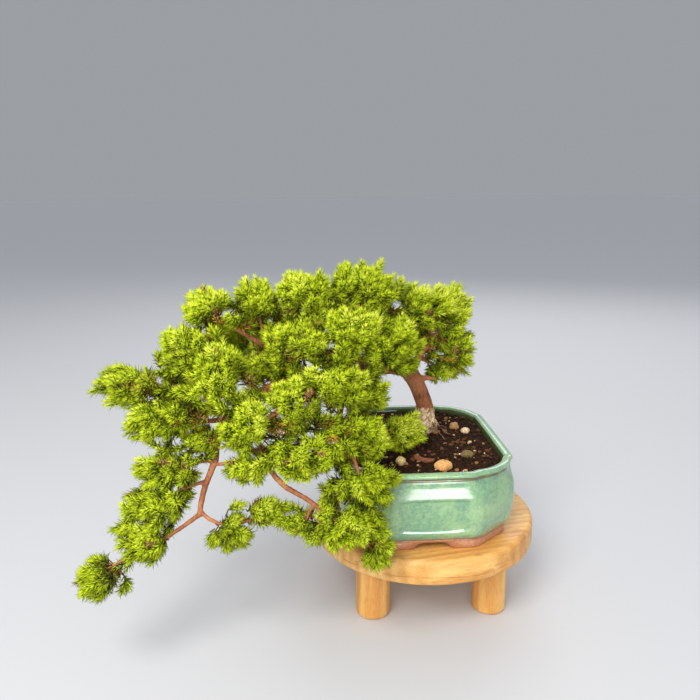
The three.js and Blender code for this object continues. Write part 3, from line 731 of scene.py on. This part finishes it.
def makeChip(voxel=0.45, relief=0.35):
    bm = remeshed(cadCopy("bark_chip"), voxel)
    for vert in bm.verts:
        along = Vector((vert.co.x / 4, vert.co.y / 1.2, vert.co.z / 1.2))
        vert.co += vert.normal * relief * noise.noise(along)
    material, tree, shader = startMaterial("barkChipFace", Roughness=0.75)
    streak = noiseNode(tree, millimetres(tree, (0.25, 1, 1), (0, 0, 0.4)), 1.1, 5, 0.65)
    colour = colourRamp(tree, streak, [(0.35, srgb(84, 44, 28)), (0.62, srgb(150, 86, 52))])
    dress(tree, shader, colour, streak, 0.0005, 0.6)
    finishPiece(bm, "barkChip", material, ["bark_chip"])


def makeScreens():
    material, tree, shader = startMaterial("screenMesh", Roughness=0.5)
    fleck = noiseNode(tree, millimetres(tree), 0.8, 3)
    tree.links.new(colourRamp(tree, fleck, [(0.3, srgb(30, 32, 30)), (0.7, srgb(58, 60, 56))]),
                   shader.inputs["Base Color"])
    for node in ("drain_screen_1", "drain_screen_2"):
        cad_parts[node].data.materials.clear()
        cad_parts[node].data.materials.append(material)


# ---- the wood ----
wood = {
    "voxel": 0.7, "grow": 0.10, "flake": 0.2,
    "rootTop": 137, "raggedRoots": 12, "shrink": 1.3, "shrinkOver": 6,
    "bark": srgb(170, 104, 62), "barkDark": srgb(120, 66, 38), "barkPale": srgb(194, 134, 88),
    "root": srgb(226, 196, 150), "rootDark": srgb(150, 108, 72), "rootPale": srgb(246, 228, 194),
    "under": srgb(84, 54, 34), "soiled": (130, 119),
}
rootNet = {
    "strands": 84, "steps": 18, "seed": 11, "thick": (0.34, 0.95), "taper": 0.7,
    "top": Vector((4.4, 18.2, 138)), "foot": Vector((5.5, 22, 114)),   # the axis that they wander down
    "reach": 7.2, "bare": 7, "flare": 2.5,
    "frontEvery": 4, "frontAngle": (-2.1, -1.6), "frontTwist": 0.3, "frontReach": 16,
    "quickening": 1.4, "weave": 0.55, "weaveTurns": 3.5,
    "leaving": 0.62, "spread": 24, "sunk": 0.8, "dive": 2.2, "ripple": 1.3,
}


def aboveRoots(tree, place, s=wood):   # 0 on the roots, 1 on the bark; the edge between them is ragged
    spots = addNode(tree, "SeparateXYZ", {0: place})
    ragged = product(tree, noiseNode(tree, place, 0.25, 4, 0.6), s["raggedRoots"])
    level = mathNode(tree, "ADD", spots.outputs["Z"], ragged)
    far = valueRamp(tree, spots.outputs["X"], -6, -16)   # branches may hang lower than the trunk's foot
    return mathNode(tree, "MAXIMUM", valueRamp(tree, level, s["rootTop"] + 4.5, s["rootTop"] + 7.5), far)


def makeBark(s=wood):
    material, tree, shader = startMaterial("juniperBark", Roughness=0.72)
    place = millimetres(tree)
    flake = noiseNode(tree, millimetres(tree, (1, 1, 0.3)), 0.7, 6, 0.66, 0.5)
    broad = noiseNode(tree, place, 0.07, 3, 0.5)
    tone = mathNode(tree, "ADD", product(tree, flake, 0.5), product(tree, broad, 0.5))
    bark = colourRamp(tree, tone, [(0.38, s["barkDark"]), (0.5, s["bark"]), (0.64, s["barkPale"])])
    fibre = noiseNode(tree, millimetres(tree, (1, 1, 0.3)), 0.9, 5, 0.7, 1.4)
    root = colourRamp(tree, fibre, [(0.42, s["under"]), (0.54, s["rootDark"]), (0.66, s["root"])])
    colour = mixColour(tree, aboveRoots(tree, place), root, bark)
    dress(tree, shader, colour, mathNode(tree, "ADD", flake, fibre), 0.0007, 0.6)
    return material


def makeRootMaterial(s=wood):
    material, tree, shader = startMaterial("fineRoot", Roughness=0.8)
    place = millimetres(tree)
    tone = noiseNode(tree, place, 0.35, 5, 0.7)
    height = addNode(tree, "SeparateXYZ", {0: place}).outputs["Z"]
    pale = colourRamp(tree, tone, [(0.34, s["rootDark"]), (0.48, s["root"]), (0.6, s["rootPale"])])
    soiled = valueRamp(tree, mathNode(tree, "ADD", height, product(tree, tone, 8)), *s["soiled"])
    colour = mixColour(tree, product(tree, soiled, 0.5), pale, s["under"])
    dress(tree, shader, colour, tone, 0.0003, 0.5)
    return material


def makeWood(s=wood):
    bm = remeshed(cadCopy("trunk_and_branches"), s["voxel"])
    for _ in range(2):
        softened(bm, 0.5)
    bm.normal_update()
    for vert in bm.verts:
        place = vert.co
        flake = noise.noise(Vector((place.x / 3, place.y / 3, place.z / 7))) + 0.5 * noise.noise(place / 1.3)
        grow = s["grow"] + s["flake"] * flake
        if place.z < s["rootTop"] and place.x > -30 and place.y > -30:   # room for the root net
            depth = min((s["rootTop"] - place.z) / s["shrinkOver"], 1)
            grow -= s["shrink"] * depth * (0.8 + noise.noise(place / 3))
        vert.co += vert.normal * grow
    surface = surfaceTree(bm)
    finishPiece(bm, "juniperWood", makeBark(), ["trunk_and_branches"])
    makeRootNet(surface)
    print("wood ready")


def makeRootNet(surface, s=rootNet):
    # fine pale roots that wander down over the trunk's foot, cross each other, and spread over the soil
    soilTop = boxInMm("soil")[1].z
    curve = bpy.data.curves.new("rootNet", "CURVE")
    curve.dimensions, curve.bevel_depth, curve.bevel_resolution, curve.use_fill_caps = "3D", 1.0, 1, True
    chance = random.Random(s["seed"])
    for i in range(s["strands"]):
        angle = chance.uniform(0, 2 * math.pi)
        toFront = i % s["frontEvery"] == 0   # the strands down the front, reaching further out
        if toFront:
            angle = chance.uniform(*s["frontAngle"])
        start, end = chance.uniform(-0.05, 0.45), chance.uniform(0.8, 1.0)
        twist = chance.uniform(-1.0, 1.0) * (s["frontTwist"] if toFront else 1)
        wander = chance.uniform(0, 50)
        thick = chance.uniform(*s["thick"])
        sideways = math.cos(angle - 0.1) ** 2
        spread = chance.uniform(0, 1) ** 1.6 * s["spread"] * (0.4 + 0.6 * sideways)
        reach = s["frontReach"] if toFront else s["reach"]
        spline = curve.splines.new("POLY")
        spline.points.add(s["steps"])
        for k in range(s["steps"] + 1):
            t = k / s["steps"]
            down = start + (end - start) * min(1, t * s["quickening"])
            turn = angle + twist * t + s["weave"] * noise.noise(Vector((wander, t * s["weaveTurns"], 0)))
            axis = s["top"].lerp(s["foot"], down)
            away = Vector((math.cos(turn), math.sin(turn), 0))
            hit = surface.ray_cast(axis + away * 30, -away, 30)[0]
            skin = s["bare"] if hit is None else (hit - axis).length
            point = axis + away * (min(skin, reach + s["flare"] * down) + thick * 0.4)
            out = max(0, (t - s["leaving"]) / (1 - s["leaving"]))   # off the flare and out along the soil
            point += away * spread * out
            if out > 0:
                ripple = s["ripple"] * noise.noise(Vector((wander, t * 5, 9)))
                point.z = min(point.z, soilTop - s["sunk"] - s["dive"] * out + ripple)
            spline.points[k].co = (*(toFrame @ point), 1)
            spline.points[k].radius = thick * 0.001 * (1 - s["taper"] * t)
    net = bpy.data.objects.new("rootNet", curve)
    sceneCollection.objects.link(net)
    mesh = bpy.data.meshes.new_from_object(net.evaluated_get(bpy.context.evaluated_depsgraph_get()))
    bpy.data.objects.remove(net)
    finishMesh(mesh, "fineRoots", makeRootMaterial(), [])


# ---- the foliage ----
needles = {"width": 1.0, "stem": 0.42}
tufts = {  # whorls of three needles (height, tilt in degrees, needle length), then the length of the stem
    "segment": ([(0.2, 54, 6.0), (1.7, 49, 6.2), (3.2, 44, 6.0)], 4.8),
    "tip": ([(0.0, 46, 6.0), (1.2, 34, 5.8), (2.4, 20, 5.2), (3.4, 6, 4.0)], 3.4),
    "sparse": ([(0.4, 46, 4.4), (2.4, 54, 4.0), (4.0, 28, 3.8)], 4.8),
}
shootLook = {
    "spacing": 9.8, "fullSize": 14, "reach": (0.70, 1.30), "joining": (1.75, 1.5, 1.25), "metAt": 1.2,
    "hub": Vector((-85, -20, 175)), "rootBack": 0.85, "rootScatter": 2.5, "comb": 5.0, "bareSide": -0.55,
    "step": 4.6, "leafy": 0.62, "fingers": (4, 6), "fingersFrom": 0.40, "fingersOver": 0.52,
    "fingerLean": (0.55, 0.9), "fingerLength": (6.5, 11), "deadUsual": 0.015,
}
leans = {  # growing directions that don't simply point away from the middle of the tree
    "cascade_tip": (-1, -0.4, -0.55), "cascade_low": (-1, -0.5, -0.25), "left_tip": (-1, -0.25, 0.05),
    "left_low": (-1, -0.4, 0.0), "left_back": (-1, 0.3, 0.2), "fork_right_high": (1, -0.1, 0.3),
    "fork_right_low": (0.8, -0.3, -0.5), "pot_face": (0.4, -1, -0.5), "stand_face": (0.35, -1, -0.5),
    "stand_low": (0.5, -0.6, -1), "over_pot": (0.6, -1, 0.1), "front_low": (-0.1, -1, -0.1),
    "side_tuft": (-1, -0.5, 0.1), "right_low": (0.7, -0.2, -0.7), "soil_sprig": (0.9, -0.6, 0.5),
}
deadShares = {
    "heart_right": 0.5, "heart_left": 0.15, "right_outer": 0.18, "right_low": 0.35, "right_face": 0.08,
    "left_middle": 0.1, "shoulder_left": 0.1, "left_back": 0.12, "front_low": 0.1, "over_pot": 0.1,
    "inner_left": 0.2, "inner_right": 0.15, "soil_sprig": 0.06, "centre_high": 0.06, "side_tuft": 0.12,
}
brightenedSprays = {  # brighter sprays: partly younger growth (the soil sprig and the low sprays), partly painted light that lightens the right-hand and cascade sprays
    "soil_sprig": 0.12, "right_top": 0.13, "right_outer": 0.13, "right_inner": 0.11, "right_low": 0.10,
    "fork_right_high": 0.06, "fork_right_low": 0.06, "cascade_tip": 0.05, "cascade_low": 0.04,
    "cascade_middle": 0.03, "cascade_high": 0.03,
}
shades = {  # columns of the needles' colour ramp
    # the terms for a shoot's outer and upper side are painted light and shade; the term for its inner part is
    # older needles and painted shade
    "usual": 0.64, "outward": 0.10, "paintedTopLight": 0.07, "patch": 0.20, "patchSize": 14, "single": 0.08,
    "agedAndShaded": 0.30, "tip": 0.05, "twig": 0.14, "dead": (0.02, 0.06, 0.09, 0.19),
}


def startMaster():
    bm = bmesh.new()
    bm.loops.layers.uv.new("OFBake")
    return bm


def finishMaster(bm):
    mesh = bpy.data.meshes.new("master")
    bm.to_mesh(mesh)
    bm.free()
    places = np.empty(len(mesh.vertices) * 3)
    mesh.vertices.foreach_get("co", places)
    spots = np.empty(len(mesh.loops) * 2)
    mesh.uv_layers["OFBake"].uv.foreach_get("vector", spots)
    return {"mesh": mesh, "places": places.reshape(-1, 3), "spots": spots.reshape(-1, 2)}


def placeCopy(bm, master, place, turn, size, shade):
    mesh = master["mesh"]
    matrix = np.array(turn.to_matrix()) * np.array(size)
    mesh.vertices.foreach_set("co", (master["places"] @ matrix.T + np.array(place)).ravel())
    shaded = master["spots"] + (min(max(shade, 0.02), 0.98), 0)
    mesh.uv_layers["OFBake"].uv.foreach_set("vector", shaded.ravel())
    bm.from_mesh(mesh, face_normals=False, vertex_normals=False)


def addNeedle(bm, height, around, tilt, length, s=needles):
    # one awl-shaped leaf, from the stem outwards; its map runs from base to point
    uv = bm.loops.layers.uv["OFBake"]
    made = bmesh.ops.create_cone(bm, cap_ends=True, cap_tris=True, segments=3, radius1=s["width"] / 2,
                                 radius2=0, depth=length)["verts"]
    bmesh.ops.translate(bm, vec=(0, 0, length / 2), verts=made)
    for face in {f for v in made for f in v.link_faces}:
        for loop in face.loops:
            loop[uv].uv = (0.008 * (loop.vert.index % 3 - 1), 0.05 + 0.9 * loop.vert.co.z / length)
    turn = Matrix.Rotation(around, 4, "Z") @ Matrix.Rotation(tilt, 4, "Y")
    bmesh.ops.transform(bm, matrix=Matrix.Translation((0, 0, height)) @ turn, verts=made)


def makeTuft(whorls, stemLength, s=needles):
    bm = startMaster()
    for i, (height, tilt, length) in enumerate(whorls):
        for k in range(3):
            around = math.radians(120 * k + 60 * (i % 2) + 11 * i)
            addNeedle(bm, height, around, math.radians(tilt + 5 * ((i + k) % 3 - 1)), length)
    bmesh.ops.create_cone(bm, cap_ends=True, segments=3, radius1=s["stem"], radius2=s["stem"] * 0.8,
                          depth=stemLength, matrix=Matrix.Translation((0, 0, stemLength / 2)))
    return finishMaster(bm)


def makeStem():
    bm = startMaster()
    bmesh.ops.create_cone(bm, cap_ends=True, segments=4, radius1=1, radius2=0.8, depth=1,
                          matrix=Matrix.Translation((0, 0, 0.5)))
    return finishMaster(bm)


def makeNeedleMaterial():
    material, tree, shader = startMaterial("juniperNeedles", Roughness=0.55)
    shader.inputs["Specular IOR Level"].default_value = 0.3
    spot = addNode(tree, "SeparateXYZ", {0: addNode(tree, "UVMap", uv_map="OFBake").outputs[0]})
    colour = colourRamp(tree, spot.outputs["X"], [
        (0.0, srgb(112, 68, 42)), (0.08, srgb(204, 146, 98)), (0.14, srgb(146, 86, 52)),
        (0.20, srgb(208, 164, 48)), (0.26, srgb(72, 74, 6)), (0.42, srgb(124, 138, 6)),
        (0.62, srgb(172, 190, 10)),
        (0.82, srgb(206, 222, 26)), (1.0, srgb(232, 240, 84))])
    # each needle darker towards its base: partly its own colour, partly painted shade in the gaps between
    # overlapping needles
    along = colourRamp(tree, spot.outputs["Y"], [(0.0, (0.46, 0.52, 0.4)), (0.6, (1, 1, 1))])
    colour = mixColour(tree, 1.0, colour, along, "MULTIPLY")
    tree.links.new(colour, shader.inputs["Base Color"])
    return material


def growShoot(bm, parts, chance, points, shade, leafy, step, dead):
    # needles along the outer part of a curve of points, with a star-like tip at its end
    lengths = [0]
    for a, b in zip(points, points[1:]):
        lengths.append(lengths[-1] + (b - a).length)
    total = lengths[-1]

    def at(distance):
        for k in range(1, len(points)):
            if distance <= lengths[k] or k == len(points) - 1:
                share = (distance - lengths[k - 1]) / max(lengths[k] - lengths[k - 1], 0.001)
                return points[k - 1].lerp(points[k], share), (points[k] - points[k - 1]).normalized()

    start = total * (1 - leafy)
    begun = 0.0
    while begun < start - 1:   # bare twig inside
        piece = min(6.0, start - begun)
        place, ahead = at(begun)
        placeCopy(bm, parts["stem"], place, ahead.to_track_quat("Z", "Y"), (0.5, 0.5, piece + 0.3),
                  shades["twig"])
        begun += piece
    count = max(1, round((total - start) / step))
    for i in range(count):
        place, ahead = at(start + (total - start) * i / count)
        turn = ahead.to_track_quat("Z", "Y") @ Quaternion((0, 0, 1), chance.uniform(0, 6.3))
        # the inner part of each shoot is darker: older needles, and painted shade deep in the spray
        innerShare = 1 - i / count
        size = chance.uniform(0.9, 1.1)
        placeCopy(bm, parts["sparse" if dead else "segment"], place, turn, (size, size, size),
                  shade - (0 if dead else shades["agedAndShaded"] * innerShare))
    place, ahead = at(total)
    turn = ahead.to_track_quat("Z", "Y") @ Quaternion((0, 0, 1), chance.uniform(0, 6.3))
    placeCopy(bm, parts["sparse" if dead else "tip"], place - ahead * 3, turn, (1, 1, 1),
              shade + (0 if dead else shades["tip"]))
    return at


def growPad(name, parts, material, pads, s=shootLook):
    centre, half = pads[name]
    chance = random.Random(name)
    lean = Vector(leans.get(name, (0, 0, 0)))
    if not lean.length:
        lean = (centre - s["hub"]) / 60 + Vector((0, 0, 0.9))
    lean.normalize()
    mean = (half.x * half.y * half.z) ** (1 / 3)
    fullness = min(min(half) / s["fullSize"], 1)   # a small spray has short shoots, close together
    count = round(4 * math.pi * mean ** 2 / (s["spacing"] * (0.6 + 0.4 * fullness)) ** 2)
    bm = bmesh.new()
    for i in range(count):
        level = 1 - 2 * (i + 0.5) / count
        around = i * math.pi * (3 - math.sqrt(5)) + chance.uniform(-0.3, 0.3)
        flat = math.sqrt(1 - level * level)
        out = Vector((flat * math.cos(around), flat * math.sin(around), level))
        if out.dot(lean) < s["bareSide"] and chance.random() < 0.5:
            continue
        surface = Vector((out.x * half.x, out.y * half.y, out.z * half.z))
        tip = centre + surface * chance.uniform(*s["reach"]) - out * 3
        for more in s["joining"]:   # shoots stretch where a neighbour's shoots meet them
            far = centre + surface * more
            if any(insidePad(far, *pads[other], s["metAt"]) for other in pads if other != name):
                tip = far
                break
        back = Vector((lean.x * half.x, lean.y * half.y, lean.z * half.z)) * s["rootBack"]
        root = centre - back + Vector([chance.uniform(-1, 1) * s["rootScatter"] for _ in range(3)])
        root = root.lerp(tip, 0.25)
        bend = root.lerp(tip, 0.55) - lean * s["comb"] * fullness
        bend += Vector([chance.uniform(-2, 2) for _ in range(3)])
        dead = chance.random() < deadShares.get(name, s["deadUsual"])
        patch = noise.noise(tip / shades["patchSize"])
        # painted light and shade: shoots on a spray's upper and leading side are lighter, those underneath
        # and on its inner side darker
        shade = shades["usual"] + shades["outward"] * out.dot(lean) + shades["paintedTopLight"] * out.z
        shade += shades["patch"] * patch + chance.uniform(-shades["single"], shades["single"])
        # younger growth, and painted light on the right-hand and cascade sprays
        shade += brightenedSprays.get(name, 0)
        if dead:
            shade = chance.choice(shades["dead"])
        points = curved(root, bend, tip)
        at = growShoot(bm, parts, chance, points, shade, s["leafy"], s["step"], dead)
        if not dead:
            growFingers(bm, parts, chance, points, at, out, shade, fullness)
    piece = finishPiece(bm, "spray_" + name, material, ["foliage_" + name])
    return len(piece.data.polygons)


def growFingers(bm, parts, chance, points, at, out, shade, fullness, s=shootLook):
    # a flat frond: side shoots left and right in turn, all leaning forward, the later ones shorter
    total = sum((b - a).length for a, b in zip(points, points[1:]))
    across = at(total * 0.8)[1].cross(out + Vector([chance.uniform(-0.4, 0.4) for _ in range(3)]))
    across.normalize()
    count = chance.randint(*s["fingers"])
    for k in range(count):
        along = s["fingersFrom"] + s["fingersOver"] * k / count
        place, ahead = at(total * along)
        side = across * (1 if k % 2 else -1)
        side.rotate(Quaternion(ahead, chance.uniform(-0.5, 0.5)))
        toward = (ahead + side * chance.uniform(*s["fingerLean"])).normalized()
        length = chance.uniform(*s["fingerLength"]) * fullness * (1.2 - 0.6 * along)
        bent = (toward + ahead * 0.3).normalized()
        growShoot(bm, parts, chance, [place, place + toward * length * 0.5, place + bent * length],
                  shade + chance.uniform(-0.02, 0.08), 0.95, s["step"], False)


def insidePad(point, centre, half, grown):
    away = point - centre
    return (away.x / half.x) ** 2 + (away.y / half.y) ** 2 + (away.z / half.z) ** 2 < grown ** 2


def makeFoliage():
    material = makeNeedleMaterial()
    parts = {name: makeTuft(*look) for name, look in tufts.items()}
    parts["stem"] = makeStem()
    pads = {}
    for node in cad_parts:
        if node.startswith("foliage_"):
            low, high = boxInMm(node)
            pads[node[len("foliage_"):]] = ((low + high) / 2, (high - low) / 2)
    faces = sum(growPad(name, parts, material, pads) for name in sorted(pads))
    print("foliage ready,", faces, "faces")


addStudio()
makeStand()
makePot()
makeScreens()
makeSoil()
makeStones()
makeWood()
makeFoliage()
